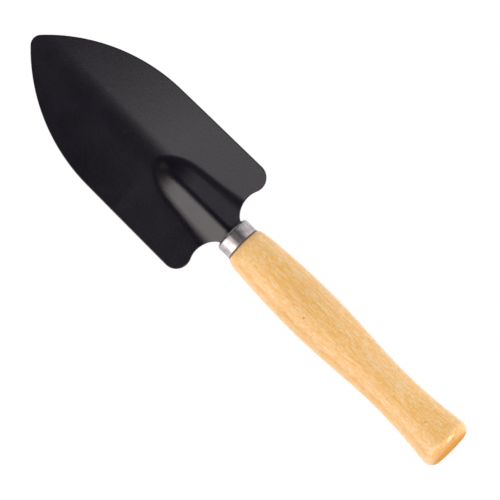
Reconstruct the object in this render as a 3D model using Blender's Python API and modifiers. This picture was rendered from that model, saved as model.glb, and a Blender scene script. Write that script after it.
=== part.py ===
"""A garden trowel: pressed steel blade, plated ferrule, turned wooden handle and one hidden pin.

Metres, +Z up. The trowel lies on its back. The tip points along +X and the handle rises towards
its butt at -X. The blade's belly and the handle's front swelling touch z = 0, and the origin lies
under the middle of the whole length.

Two sets of coordinates place everything. The blade's outline is drawn in plan: "ahead" is the
distance in front of the ferrule's front rim and "out" the distance from the middle line. What is
turned, and the tang, use the handle's axis: "back" is the distance behind the same rim, along it.
"""
import math

import bmesh
import bpy
from mathutils import Euler, Vector

# Blade: outline in plan
SHEET_THICKNESS = 0.0014
BLADE_LENGTH = 0.1312
TAPER_LENGTH = 0.0682
BLADE_WIDTH = 0.0646
HEEL_WIDTH = 0.0657
TIP_RADIUS = 0.0050
CORNER_RADIUS = 0.0072
NOTCH_RADIUS = 0.0122
NOTCH_DEPTH = 0.0050

# Blade: the pressed form
WING_ANGLE = 16.0
TIP_WING_ANGLE = 5.0
TROUGH_WIDTH = 0.0152
HEEL_RISE = 0.00165
HEEL_RISE_LENGTH = 0.0600
TIP_RISE = 0.0015
TIP_RISE_LENGTH = 0.0410
RIB_LENGTH = 0.0472
RIB_NOSE_LENGTH = 0.0232
RIB_HEIGHT = 0.0080
RIB_ANGLE = 34.0
CREST_RADIUS = 0.0036
VALLEY_RADIUS = 0.0060
HEEL_VALLEY_RADIUS = 0.0090
HEEL_VALLEY_LENGTH = 0.0200

# Blade: neck and tang
NECK_REACH = 0.0018
TANG_LENGTH = 0.0450
TANG_RADIUS = 0.0038
TANG_FOLD_ANGLE = 65.0
TANG_FOLD_LENGTH = 0.0065
TANG_POINT_LENGTH = 0.0100
TANG_POINT_SHARE = 0.45

# Ferrule
FERRULE_RADIUS = 0.0094
FERRULE_LENGTH = 0.0090
FERRULE_WALL = 0.0008
FERRULE_EDGE = 0.0014
FERRULE_LIP = 0.00025

# Handle: radii and their distances behind the wooden shoulder that the ferrule meets
HANDLE_TILT = 6.3
HANDLE_LENGTH = 0.1395
FRONT_STEP = 0.0001
FRONT_RISE = 0.0018
FRONT_LENGTH = 0.0056
SWELL_RADIUS = 0.01315
SWELL_PLACE = 0.0467
WAIST_RADIUS = 0.0109
WAIST_PLACE = 0.0988
BUTT_RADIUS = 0.01345
BUTT_EDGE = 0.0047
BUTT_FLARE_ANGLE = 7.5

# Pin
PIN_RADIUS = 0.0009
PIN_HEAD_RADIUS = 0.0016
PIN_HEAD_HEIGHT = 0.0004
PIN_SETBACK = 0.0056
PIN_PAST_AXIS = 0.0060

# Gap that separate pieces keep, also where one bears on the other
CLEARANCE = 0.0003

TURN_STEPS = 40
PIN_STEPS = 20
MERGE = 0.00001

# Sizes that follow from the ones above
TILT = math.radians(HANDLE_TILT)
WING_SLOPE = math.tan(math.radians(WING_ANGLE))
TIP_WING_SLOPE = math.tan(math.radians(TIP_WING_ANGLE))
RIB_SLOPE = math.tan(math.radians(RIB_ANGLE))
TANG_FOLD = math.radians(TANG_FOLD_ANGLE)

OPENING_RADIUS = FERRULE_RADIUS - FERRULE_EDGE - FERRULE_LIP
NECK_HALF = OPENING_RADIUS - CLEARANCE
TANG_ROOT_HALF = TANG_RADIUS * TANG_FOLD * math.cos(math.radians(RIB_ANGLE))
TENON_RADIUS = FERRULE_RADIUS - FERRULE_WALL - CLEARANCE
TENON_FRONT = NECK_REACH + CLEARANCE
BORE_RADIUS = TANG_RADIUS + CLEARANCE
BORE_MOUTH_END = NECK_REACH + TANG_FOLD_LENGTH
BORE_END = TANG_LENGTH + CLEARANCE
SHOULDER_BACK = FERRULE_LENGTH + CLEARANCE
BUTT_BACK = SHOULDER_BACK + HANDLE_LENGTH
FRONT_RADIUS = FERRULE_RADIUS + FRONT_STEP
DRILL_RADIUS = PIN_RADIUS + CLEARANCE

# The widths are taken over the sheet's lower corners, which lean out below the upper face
EDGE_LEAN = SHEET_THICKNESS * math.sin(math.radians(WING_ANGLE))
BLADE_HALF = BLADE_WIDTH / 2 - EDGE_LEAN
HEEL_HALF = HEEL_WIDTH / 2 - EDGE_LEAN
TAPER_START = BLADE_LENGTH - TAPER_LENGTH
SIDE_RADIUS = (((TAPER_LENGTH - TIP_RADIUS) ** 2 + BLADE_HALF ** 2 - TIP_RADIUS ** 2)
               / (2 * (BLADE_HALF - TIP_RADIUS)))
TIP_ARC_HALF = TIP_RADIUS * (SIDE_RADIUS - BLADE_HALF) / (SIDE_RADIUS - TIP_RADIUS)
NOTCH_AHEAD = NOTCH_DEPTH - NOTCH_RADIUS
NOTCH_OUT = NECK_HALF + math.sqrt(NOTCH_RADIUS ** 2 - NOTCH_AHEAD ** 2)
CORNER_OUT = HEEL_HALF - CORNER_RADIUS
CORNER_AHEAD = NOTCH_AHEAD + math.sqrt((NOTCH_RADIUS + CORNER_RADIUS) ** 2
                                       - (CORNER_OUT - NOTCH_OUT) ** 2)
ARCS_MEET_OUT = NOTCH_OUT + ((CORNER_OUT - NOTCH_OUT) * NOTCH_RADIUS
                             / (NOTCH_RADIUS + CORNER_RADIUS))


def spread(start, end, count):
    """count values in even steps after start, ending at end."""
    return [start + (end - start) * step / count for step in range(1, count + 1)]


def glide(back_a, radius_a, slope_a, back_b, radius_b, slope_b, count):
    """Points (back, radius) after the first end of a cubic with the slopes given at its ends."""
    length = back_b - back_a
    points = []
    for t in spread(0.0, 1.0, count):
        radius = ((2 * t ** 3 - 3 * t ** 2 + 1) * radius_a + (3 * t ** 2 - 2 * t ** 3) * radius_b
                  + (t ** 3 - 2 * t ** 2 + t) * length * slope_a + (t ** 3 - t ** 2) * length * slope_b)
        points.append((back_a + length * t, radius))
    return points


def handle_outline():
    """The grip's turned outline from its shoulder to the edge of its flat butt, as (back, radius)."""
    shoulder_radius = FRONT_RADIUS + FRONT_RISE
    swell_back = SHOULDER_BACK + SWELL_PLACE
    waist_back = SHOULDER_BACK + WAIST_PLACE
    front_end = SHOULDER_BACK + FRONT_LENGTH
    front_slope = 2 * FRONT_RISE / FRONT_LENGTH
    swell_slope = 2 * (SWELL_RADIUS - shoulder_radius) / (swell_back - front_end)
    flare = math.radians(BUTT_FLARE_ANGLE)
    edge_back = BUTT_BACK - BUTT_EDGE
    edge_radius = BUTT_RADIUS - BUTT_EDGE
    flare_back = edge_back - BUTT_EDGE * math.sin(flare)
    flare_radius = edge_radius + BUTT_EDGE * math.cos(flare)
    points = [(SHOULDER_BACK, FRONT_RADIUS)]
    points += glide(SHOULDER_BACK, FRONT_RADIUS, front_slope,
                    front_end, shoulder_radius, swell_slope, 5)
    points += glide(front_end, shoulder_radius, swell_slope, swell_back, SWELL_RADIUS, 0.0, 8)
    points += glide(swell_back, SWELL_RADIUS, 0.0, waist_back, WAIST_RADIUS, 0.0, 9)
    points += glide(waist_back, WAIST_RADIUS, 0.0,
                    flare_back, flare_radius, math.tan(flare), 7)
    for angle in spread(-flare, math.pi / 2, 7):
        points.append((edge_back + BUTT_EDGE * math.sin(angle),
                       edge_radius + BUTT_EDGE * math.cos(angle)))
    return points


def resting_height():
    """Height of the ferrule's front centre when the handle, or the pin's head, touches z = 0."""
    head_top = FERRULE_RADIUS + CLEARANCE + PIN_HEAD_HEIGHT
    low_points = handle_outline() + [(PIN_SETBACK, head_top)]
    return max(radius * math.cos(TILT) - back * math.sin(TILT) for back, radius in low_points)


BUTT_REACH = ((BUTT_BACK - BUTT_EDGE) * math.cos(TILT)
              + (BUTT_RADIUS - BUTT_EDGE) * math.sin(TILT) + BUTT_EDGE)
RIM_X = (BUTT_REACH - BLADE_LENGTH) / 2
AXIS_HEIGHT = resting_height()


def soft_abs(distance, half):
    """The size of a distance, its sharp turn at 0 made a parabola from -half to half."""
    size = abs(distance)
    return size - half / 2 if size > half else size * size / (2 * half)


def soft_max(one, other, reach):
    """The higher of two heights, with a fillet where they are less than reach apart."""
    overlap = max(reach - abs(one - other), 0.0) / reach
    return max(one, other) + overlap * overlap * reach / 4


def wing_slope(ahead):
    """How steeply the two wings rise from the trough: full over the rib, falling to the tip."""
    share = min(max((BLADE_LENGTH - ahead) / (BLADE_LENGTH - RIB_LENGTH), 0.0), 1.0)
    return TIP_WING_SLOPE + (WING_SLOPE - TIP_WING_SLOPE) * share


def trough_height(ahead):
    """The upper face on the middle line without its rib: level, rising to the heel and the tip."""
    heel = max(1 - ahead / HEEL_RISE_LENGTH, 0.0)
    tip = max(1 - (BLADE_LENGTH - ahead) / TIP_RISE_LENGTH, 0.0)
    return SHEET_THICKNESS + HEEL_RISE * heel ** 2 + TIP_RISE * tip ** 2


def crest_height(ahead):
    """The rib's crest: a straight fall from the neck, and a nose that rounds off by a fourth power."""
    nose_start = RIB_LENGTH - RIB_NOSE_LENGTH
    neck_rise = AXIS_HEIGHT + TANG_RADIUS * math.cos(TILT) - trough_height(0.0)
    rise = neck_rise + (RIB_HEIGHT - neck_rise) * min(ahead, RIB_LENGTH) / nose_start
    nose = max(ahead - nose_start, 0.0) / RIB_NOSE_LENGTH
    return trough_height(ahead) + rise * (1 - nose ** 4)


def valley_radius(ahead):
    """The fillet between rib and wing, which opens towards the heel."""
    heel = max(1 - ahead / HEEL_VALLEY_LENGTH, 0.0)
    return VALLEY_RADIUS + (HEEL_VALLEY_RADIUS - VALLEY_RADIUS) * heel


def pressed_height(ahead, out):
    """The upper face of the pressed sheet: a soft V for the wings, and the rib's roof through it."""
    slope = wing_slope(ahead)
    wings = trough_height(ahead) + slope * soft_abs(out, TROUGH_WIDTH / 2)
    roof = crest_height(ahead) - RIB_SLOPE * soft_abs(out, CREST_RADIUS * RIB_SLOPE)
    fillet = valley_radius(ahead) * (slope + RIB_SLOPE) ** 2 / 2
    return soft_max(wings, roof, fillet)


def front_edge(out):
    """How far ahead the outline lies: the tip's arc, then the long arc of the side."""
    if out < TIP_ARC_HALF:
        return BLADE_LENGTH - TIP_RADIUS + math.sqrt(TIP_RADIUS ** 2 - out ** 2)
    from_centre = out + SIDE_RADIUS - BLADE_HALF
    return TAPER_START + math.sqrt(max(SIDE_RADIUS ** 2 - from_centre ** 2, 0.0))


def rear_edge(out):
    """How far ahead the heel lies: the notch's hollow arc, then the shoulder's round corner."""
    if out <= NECK_HALF:
        return 0.0
    if out < ARCS_MEET_OUT:
        return NOTCH_AHEAD + math.sqrt(NOTCH_RADIUS ** 2 - (out - NOTCH_OUT) ** 2)
    return CORNER_AHEAD - math.sqrt(max(CORNER_RADIUS ** 2 - (out - CORNER_OUT) ** 2, 0.0))


def side_line(ahead):
    """Half the width between the two straight sides, which open slightly towards the heel."""
    share = (ahead - CORNER_AHEAD) / (TAPER_START - CORNER_AHEAD)
    return HEEL_HALF + (BLADE_HALF - HEEL_HALF) * min(max(share, 0.0), 1.0)


def on_axis(back, out, above):
    """A point given along the handle's axis, in world coordinates."""
    return Vector((RIM_X - back * math.cos(TILT) + above * math.sin(TILT), out,
                   AXIS_HEIGHT + back * math.sin(TILT) + above * math.cos(TILT)))


def neck_height(out):
    """The neck's upper face above the handle's axis: the rib's roof, its crest at the tang's top."""
    return TANG_RADIUS - RIB_SLOPE * soft_abs(out, CREST_RADIUS * RIB_SLOPE)


def neck_point(back, out):
    """The neck: the rib's roof carried straight back along the handle's axis."""
    return on_axis(back, out, neck_height(out))


def tang_point(back, share):
    """The tang, share of its half width out: the roof folds into a half tube, then narrows."""
    root = neck_point(back, share * TANG_ROOT_HALF)
    to_point = min((TANG_LENGTH - back) / TANG_POINT_LENGTH, 1.0)
    angle = share * TANG_FOLD * (TANG_POINT_SHARE + (1 - TANG_POINT_SHARE) * to_point)
    tube = on_axis(back, TANG_RADIUS * math.sin(angle), TANG_RADIUS * math.cos(angle))
    fold = min((back - NECK_REACH) / TANG_FOLD_LENGTH, 1.0)
    return root.lerp(tube, fold * fold * (3 - 2 * fold))


def blade_breadths():
    """Places across half the heel, and how many of them the tang and the neck are wide."""
    tang = [0.0] + spread(0.0, TANG_ROOT_HALF, 3)
    neck = spread(TANG_ROOT_HALF, NECK_HALF, 3)
    notch = spread(NECK_HALF, NOTCH_OUT, 10) + spread(NOTCH_OUT, ARCS_MEET_OUT, 3)
    corner = spread(ARCS_MEET_OUT, CORNER_OUT, 2)
    corner += [CORNER_OUT + CORNER_RADIUS * math.sin(angle) for angle in spread(0.0, math.pi / 2, 6)]
    return tang + neck + notch + corner, len(tang), len(tang) + len(neck)


def blade_rows():
    """Rows of points over half the upper face, from the tang's end to the tip."""
    breadths, tang_count, neck_count = blade_breadths()
    point_start = TANG_LENGTH - TANG_POINT_LENGTH
    tang_backs = spread(NECK_REACH, BORE_MOUTH_END, 4) + spread(BORE_MOUTH_END, point_start, 3)
    tang_backs += spread(point_start, TANG_LENGTH, 2)
    rows = []
    for back in reversed(tang_backs):
        rows.append([tang_point(back, out / TANG_ROOT_HALF) for out in breadths[:tang_count]])
    rows.append([neck_point(NECK_REACH, out) for out in breadths[:neck_count]])

    nose_end = min(RIB_LENGTH, 0.8 * TAPER_START)
    nose_start = nose_end * (1 - RIB_NOSE_LENGTH / RIB_LENGTH)
    places = [0.0] + spread(0.0, nose_start, 9) + spread(nose_start, nose_end, 8)
    places += spread(nose_end, BLADE_LENGTH, 12)
    for place in places:
        row = []
        for out in breadths:
            if place == 0.0 and out <= NECK_HALF:
                row.append(neck_point(0.0, out))
                continue
            ahead = place
            if place < nose_start:
                ahead += rear_edge(out) * (1 - place / nose_start)
            elif place > nose_end:
                reach = front_edge(out * BLADE_HALF / HEEL_HALF) - nose_end
                ahead = nose_end + reach * (place - nose_end) / (BLADE_LENGTH - nose_end)
            across = out / HEEL_HALF * side_line(ahead)
            row.append(Vector((RIM_X + ahead, across, pressed_height(ahead, across))))
        rows.append(row)
    return rows


def make_material(name, colour, roughness, metallic):
    """A plain material with the piece's own colour."""
    material = bpy.data.materials.new(name)
    material.use_nodes = True
    shader = material.node_tree.nodes["Principled BSDF"]
    shader.inputs["Base Color"].default_value = (*colour, 1.0)
    shader.inputs["Roughness"].default_value = roughness
    shader.inputs["Metallic"].default_value = metallic
    return material


def add_object(name, bm, collection, material=None):
    """Put a bmesh into a new object and link it to a collection."""
    mesh = bpy.data.meshes.new(name)
    bm.to_mesh(mesh)
    bm.free()
    item = bpy.data.objects.new(name, mesh)
    if material:
        mesh.materials.append(material)
    collection.objects.link(item)
    return item


def turned(name, outline, closed, steps, collection, material):
    """Turn an outline of (back, radius) points about local Z, whose +Z points to the front."""
    bm = bmesh.new()
    verts = [bm.verts.new((radius, 0.0, -back)) for back, radius in outline]
    pairs = list(zip(verts, verts[1:]))
    if closed:
        pairs.append((verts[-1], verts[0]))
    for pair in pairs:
        bm.edges.new(pair)
    item = add_object(name, bm, collection, material)
    screw = item.modifiers.new("Turn", "SCREW")
    screw.axis = "Z"
    screw.steps = steps
    screw.render_steps = steps
    screw.use_merge_vertices = True
    screw.merge_threshold = MERGE
    screw.use_smooth_shade = True
    return item


def cut(item, cutter):
    """Cut a drilled hole into a piece."""
    boolean = item.modifiers.new("Pin hole", "BOOLEAN")
    boolean.operation = "DIFFERENCE"
    boolean.solver = "EXACT"
    boolean.object = cutter


def make_blade(collection, drill):
    """Press half the blank, mirror it, and give the sheet its thickness downwards."""
    bm = bmesh.new()
    rows = [[bm.verts.new(point) for point in row] for row in blade_rows()]
    for row, ahead in zip(rows, rows[1:]):
        for near, far in zip(range(len(row) - 1), range(1, len(row))):
            bm.faces.new((row[near], ahead[near], ahead[far], row[far]))
    material = make_material("black_powder_coat", (0.012, 0.011, 0.012), 0.42, 0.0)
    blade = add_object("blade", bm, collection, material)
    mirror = blade.modifiers.new("Other half", "MIRROR")
    mirror.use_axis = (False, True, False)
    mirror.merge_threshold = MERGE
    solidify = blade.modifiers.new("Sheet", "SOLIDIFY")
    solidify.thickness = SHEET_THICKNESS
    solidify.offset = -1.0
    solidify.use_even_offset = True
    cut(blade, drill)
    blade.data.shade_smooth()
    blade.data.set_sharp_from_angle(angle=math.radians(35))
    return blade


def make_ferrule(collection, axis, drill):
    """A drawn cup: turned-in lip, rounded front edge, thin wall."""
    inner_edge = FERRULE_EDGE - FERRULE_WALL
    inner_radius = FERRULE_RADIUS - FERRULE_WALL
    outline = [(0.0, OPENING_RADIUS), (0.0, FERRULE_RADIUS - FERRULE_EDGE)]
    for angle in spread(0.0, math.pi / 2, 6):
        outline.append((FERRULE_EDGE * (1 - math.cos(angle)),
                        FERRULE_RADIUS - FERRULE_EDGE * (1 - math.sin(angle))))
    outline += [(FERRULE_LENGTH, FERRULE_RADIUS), (FERRULE_LENGTH, inner_radius),
                (FERRULE_EDGE, inner_radius)]
    for angle in spread(math.pi / 2, 0.0, 4):
        outline.append((FERRULE_EDGE - inner_edge * math.cos(angle),
                        inner_radius - inner_edge * (1 - math.sin(angle))))
    outline.append((FERRULE_WALL, OPENING_RADIUS))
    material = make_material("plated_steel", (0.66, 0.63, 0.60), 0.28, 1.0)
    ferrule = turned("ferrule", outline, True, TURN_STEPS, collection, material)
    ferrule.parent = axis
    cut(ferrule, drill)
    return ferrule


def make_handle(collection, axis, drill):
    """Turned grip with its tenon and a bore whose mouth opens out for the root of the tang."""
    mouth_radius = math.hypot(TANG_ROOT_HALF, neck_height(TANG_ROOT_HALF)) + CLEARANCE
    outline = [(BORE_END, 0.0), (BORE_END, BORE_RADIUS), (BORE_MOUTH_END, BORE_RADIUS),
               (TENON_FRONT, mouth_radius), (TENON_FRONT, TENON_RADIUS),
               (SHOULDER_BACK, TENON_RADIUS)]
    outline += handle_outline() + [(BUTT_BACK, 0.0)]
    material = make_material("varnished_wood", (0.80, 0.52, 0.24), 0.32, 0.0)
    handle = turned("handle", outline, False, TURN_STEPS, collection, material)
    handle.parent = axis
    cut(handle, drill)
    return handle


def make_pin(collection, axis):
    """A small nail with a low round head, driven in from the underside."""
    head_radius = PIN_HEAD_RADIUS
    seat = FERRULE_RADIUS + CLEARANCE
    dome = (head_radius ** 2 + PIN_HEAD_HEIGHT ** 2) / (2 * PIN_HEAD_HEIGHT)
    dome_angle = math.asin(head_radius / dome)
    outline = [(-seat - PIN_HEAD_HEIGHT, 0.0)]
    for angle in spread(0.0, dome_angle, 3):
        outline.append((-seat - PIN_HEAD_HEIGHT + dome * (1 - math.cos(angle)),
                        dome * math.sin(angle)))
    outline += [(-seat, PIN_RADIUS), (PIN_PAST_AXIS - 2 * PIN_RADIUS, PIN_RADIUS),
                (PIN_PAST_AXIS, PIN_RADIUS / 3), (PIN_PAST_AXIS, 0.0)]
    material = make_material("bright_steel", (0.60, 0.59, 0.57), 0.35, 1.0)
    pin = turned("ferrule_pin", outline, False, PIN_STEPS, collection, material)
    pin.parent = axis
    pin.location = (0.0, 0.0, -PIN_SETBACK)
    pin.rotation_euler = Euler((0.0, math.pi / 2, 0.0))
    return pin


def make_drill(collection, axis):
    """The hole that ferrule, tenon and tang are drilled with together, from the underside."""
    top = FERRULE_RADIUS + 2 * FERRULE_WALL
    bottom = -(PIN_PAST_AXIS + CLEARANCE)
    bm = bmesh.new()
    bmesh.ops.create_cone(bm, cap_ends=True, segments=PIN_STEPS, radius1=DRILL_RADIUS,
                          radius2=DRILL_RADIUS, depth=top - bottom)
    drill = add_object("pin_drill", bm, collection)
    drill.parent = axis
    drill.location = ((top + bottom) / 2, 0.0, -PIN_SETBACK)
    drill.rotation_euler = Euler((0.0, math.pi / 2, 0.0))
    drill.hide_render = True
    drill.display_type = "WIRE"
    return drill


def main():
    """Clear the scene and build the trowel."""
    for item in list(bpy.data.objects):
        bpy.data.objects.remove(item)
    parts = bpy.data.collections.new("garden_trowel")
    cutters = bpy.data.collections.new("cutters")
    for collection in (parts, cutters):
        bpy.context.scene.collection.children.link(collection)

    # The empty's +Z points forward along the handle's axis and its +X to the underside
    axis = bpy.data.objects.new("handle_axis", None)
    axis.location = (RIM_X, 0.0, AXIS_HEIGHT)
    axis.rotation_euler = Euler((0.0, math.pi / 2 + TILT, 0.0))
    parts.objects.link(axis)

    drill = make_drill(cutters, axis)
    make_blade(parts, drill)
    make_ferrule(parts, axis, drill)
    make_handle(parts, axis, drill)
    make_pin(parts, axis)


main()
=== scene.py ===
# %% [markdown]
# # A garden trowel, finished for the camera
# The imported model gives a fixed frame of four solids, in metres, each where it works: the pressed blade
# with its tang, the ferrule, the turned handle, and the nail that pins the three together. This script
# puts a finer surface in the place of each solid, gives it the finish of the real piece, and sets up a
# small photographic studio round it.

# %% Load the frame
import math

import bmesh
import bpy
import numpy as np
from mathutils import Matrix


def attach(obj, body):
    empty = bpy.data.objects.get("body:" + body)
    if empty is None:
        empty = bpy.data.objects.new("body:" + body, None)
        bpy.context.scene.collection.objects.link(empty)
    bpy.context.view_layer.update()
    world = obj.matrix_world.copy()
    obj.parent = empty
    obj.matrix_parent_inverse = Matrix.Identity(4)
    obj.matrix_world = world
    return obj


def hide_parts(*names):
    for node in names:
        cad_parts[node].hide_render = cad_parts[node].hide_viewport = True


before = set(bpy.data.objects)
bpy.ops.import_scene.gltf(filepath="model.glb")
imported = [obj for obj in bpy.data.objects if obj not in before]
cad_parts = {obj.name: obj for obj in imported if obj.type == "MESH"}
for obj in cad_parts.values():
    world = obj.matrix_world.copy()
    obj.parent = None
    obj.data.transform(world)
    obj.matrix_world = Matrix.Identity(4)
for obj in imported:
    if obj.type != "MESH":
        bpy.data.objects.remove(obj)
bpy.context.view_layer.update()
print("Nodes:", sorted(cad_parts))

# %% [markdown]
# ## The camera
# The trowel was photographed from straight above, lying on its back, with the tip to the upper left. All
# of it is equally sharp and shows no foreshortening, so the camera stands far away behind a long lens.
# A camera without perspective would do as well, but the other views need one that can step back.

# %% Camera
PICTURE_PIXELS = 500
METRES_PER_PIXEL = 0.0004765
VIEW_CENTRE = (-0.00444, -0.00046, 0.010)
VIEW_TURN = math.radians(224.6)
CAMERA_DISTANCE = 9.0
SENSOR_MM = 36.0
LENS_MM = SENSOR_MM * CAMERA_DISTANCE / (METRES_PER_PIXEL * PICTURE_PIXELS)

camera_data = bpy.data.cameras.new("camera")
camera_data.sensor_width = SENSOR_MM
camera_data.lens = LENS_MM
camera_data.clip_end = 2 * CAMERA_DISTANCE
camera = bpy.data.objects.new("camera", camera_data)
camera.location = (VIEW_CENTRE[0], VIEW_CENTRE[1], VIEW_CENTRE[2] + CAMERA_DISTANCE)
camera.rotation_euler = (0.0, 0.0, VIEW_TURN)
bpy.context.scene.collection.objects.link(camera)
bpy.context.scene.camera = camera
bpy.context.scene.view_settings.view_transform = "Standard"
print("Lens in millimetres:", round(LENS_MM))

# %% [markdown]
# ## Building materials from expressions
# A procedural finish is arithmetic on patterns. Dragging forty nodes about hides the arithmetic, so two
# small classes write it as Python: Value wraps an output socket, and + - * on it add Math nodes.
# Finish adds every other kind of node through one method, which sets the node's settings before its
# sockets because some settings change which sockets there are.

# %% Values and finishes
class Value:
    """An output socket that Python's operators work on. Each operation adds one Math node."""

    def __init__(self, finish, socket):
        self.finish = finish
        self.socket = socket

    def math(self, operation, *others):
        """A Math node with this value first, or the others in the order given."""
        return self.finish.math(operation, self, *others)

    def __add__(self, other):
        return self.math("ADD", other)

    def __radd__(self, other):
        return self.finish.math("ADD", other, self)

    def __sub__(self, other):
        return self.math("SUBTRACT", other)

    def __rsub__(self, other):
        return self.finish.math("SUBTRACT", other, self)

    def __mul__(self, other):
        return self.math("MULTIPLY", other)

    def __rmul__(self, other):
        return self.finish.math("MULTIPLY", other, self)


class Finish:
    """The node tree of one material or of the world, built by calls that return Values."""

    def __init__(self, owner):
        self.owner = owner
        owner.use_nodes = True
        self.nodes = owner.node_tree.nodes
        self.links = owner.node_tree.links

    def fill(self, node, sockets):
        """Link each Value to its socket, and set each plain number, vector or colour on it."""
        for key, given in sockets.items():
            if isinstance(given, Value):
                self.links.new(given.socket, node.inputs[key])
            else:
                node.inputs[key].default_value = given

    def node(self, kind, settings=None, sockets=None, output=0):
        """Add a node: its settings first, then its sockets. Returns one of its outputs."""
        node = self.nodes.new(kind)
        for key, setting in (settings or {}).items():
            setattr(node, key, setting)
        self.fill(node, sockets or {})
        return Value(self, node.outputs[output])

    def math(self, operation, *values):
        """A Math node on one to three values."""
        return self.node("ShaderNodeMath", {"operation": operation}, dict(enumerate(values)))

    def ramp(self, value, low, high):
        """0 below low, 1 above high, and a smooth S between. Low may be the larger of the two."""
        settings = {"interpolation_type": "SMOOTHSTEP"}
        return self.node("ShaderNodeMapRange", settings, {0: value, 1: low, 2: high, 3: 0.0, 4: 1.0})

    def mix(self, share, one, other):
        """A colour that goes from one to other as share goes from 0 to 1."""
        return self.node("ShaderNodeMix", {"data_type": "RGBA"}, {0: share, 6: one, 7: other}, 2)

    def noise(self, place, scale, detail, roughness):
        """Smooth random values about 0.5, with scale bumps to a unit of place."""
        sockets = {"Vector": place, "Scale": scale, "Detail": detail, "Roughness": roughness}
        return self.node("ShaderNodeTexNoise", None, sockets)

    def object_place(self):
        """Where a point lies in metres, the same as its world place for a piece at rest."""
        return self.node("ShaderNodeTexCoord", None, None, 3)

    def bump(self, height, strength, distance):
        """A normal that leans as if the height, from 0 to 1, were distance metres of relief."""
        sockets = {"Strength": strength, "Distance": distance, "Height": height}
        return self.node("ShaderNodeBump", None, sockets)

    def finished(self, sockets):
        """Fill the Principled shader's sockets and hand over the material."""
        self.fill(self.nodes["Principled BSDF"], sockets)
        return self.owner


def colour(red, green, blue):
    """A linear colour with full opacity, as sockets want it."""
    return (red, green, blue, 1.0)


# %% [markdown]
# ## The studio
# The real picture was taken on white paper between soft boxes. What the black blade mirrors tells where
# they stood. The left wing mirrors a place 32 degrees to the right of straight up and the middle mirrors
# the camera's own place, and both are black, so nothing shone there. The right wing and the rib's left
# flank are bright: that asks for a large box low on the left, with a warmer core. The rib's right flank
# shows a smaller box on the right. The blade mirrors nothing above the butt, so the box there is free to
# light the wood and to make the highlight on the butt's edge. A last one, low beyond the tip, reaches the
# slope at the front of the grip, which the others leave too dark.

# %% Soft boxes
LAMP_DISTANCE = 1.6
# Azimuth and the two angles from straight up in degrees, length in metres, brightness, tint
SOFT_BOXES = {
    "key_box": (90, 24, 88, 1.25, 2.45, (1.0, 0.94, 0.97)),
    "key_core": (76, 50, 82, 0.8, 2.3, (1.0, 0.88, 0.80)),
    "fill_box": (262, 46, 86, 0.9, 2.05, (1.0, 0.93, 0.99)),
    "tip_box": (0, 74, 88, 1.6, 0.9, (1.0, 0.98, 0.97)),
    "butt_box": (212, 35, 65, 0.9, 8.0, (1.0, 0.98, 0.97)),
}


def soft_box(name, azimuth, low, high, length, brightness, tint):
    """A rectangular lamp that faces the trowel, seen from it between two angles from straight up.

    Its power is pi times its area times brightness, so brightness 1 is a face that looks white.
    """
    tilt = math.radians((low + high) / 2)
    turn = math.radians(azimuth)
    lamp = bpy.data.lights.new(name, "AREA")
    lamp.shape = "RECTANGLE"
    lamp.size = length
    lamp.size_y = 2 * LAMP_DISTANCE * math.tan(math.radians((high - low) / 2))
    lamp.energy = math.pi * lamp.size * lamp.size_y * brightness
    lamp.color = tint
    item = bpy.data.objects.new(name, lamp)
    item.location = (LAMP_DISTANCE * math.sin(tilt) * math.cos(turn),
                     LAMP_DISTANCE * math.sin(tilt) * math.sin(turn),
                     LAMP_DISTANCE * math.cos(tilt))
    item.rotation_euler = (tilt, 0.0, turn + math.pi / 2)
    item.visible_camera = False
    bpy.context.scene.collection.objects.link(item)
    print(name, "power in watts:", round(lamp.energy, 1))


for box_name, box in SOFT_BOXES.items():
    soft_box(box_name, *box)

# %% [markdown]
# ## Floor and air
# White paper in a bright studio photographs as pure white with hardly a shadow. Lighting grey paper that
# hard would burn the object out as well, so the floor's white is mostly its own glow, shown only to the
# camera and to mirror-like reflections. The lit paper is brighter than the white at which the picture
# burns out, so what mirrors it sees a white above 1. The plain diffuse part gives the light from below.

# %% Floor and world
FLOOR_RADIUS = 3.0
FLOOR_SEGMENTS = 96
SEEN_GLOW = 0.96
MIRRORED_GLOW = 0.855
PAPER_WHITE = 1.03
PLAIN_WHITE = colour(1.0, 1.0, 1.0)
MIRRORED_WHITE = colour(1.3, 1.3, 1.3)
PAPER_GREY = colour(0.82, 0.82, 0.82)
AIR_COLOUR = colour(0.98, 0.96, 1.0)
AIR_LIGHT = 0.08

floor_mesh = bpy.data.meshes.new("paper_floor")
floor_bm = bmesh.new()
bmesh.ops.create_circle(floor_bm, cap_ends=True, radius=FLOOR_RADIUS, segments=FLOOR_SEGMENTS)
floor_bm.to_mesh(floor_mesh)
floor_bm.free()
floor = bpy.data.objects.new("paper_floor", floor_mesh)
bpy.context.scene.collection.objects.link(floor)

paper = Finish(bpy.data.materials.new("white_paper"))
seen = paper.node("ShaderNodeLightPath", None, None, 0)
mirrored = paper.node("ShaderNodeLightPath", None, None, 3)
share = (SEEN_GLOW * seen).math("MAXIMUM", MIRRORED_GLOW * mirrored)
plain = paper.node("ShaderNodeBsdfDiffuse", None, {"Color": PAPER_GREY})
tone = paper.mix(mirrored, PLAIN_WHITE, MIRRORED_WHITE)
glow = paper.node("ShaderNodeEmission", None, {"Color": tone, "Strength": PAPER_WHITE})
surface = paper.node("ShaderNodeMixShader", None, {0: share, 1: plain, 2: glow})
paper.fill(paper.nodes["Material Output"], {"Surface": surface})
floor_mesh.materials.append(paper.owner)

air = Finish(bpy.data.worlds.new("studio_air"))
bpy.context.scene.world = air.owner
seen = air.node("ShaderNodeLightPath", None, None, 0)
air.fill(air.nodes["Background"], {
    "Color": AIR_COLOUR, "Strength": AIR_LIGHT + (1 - AIR_LIGHT) * seen})
print("Floor and world ready")

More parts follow.
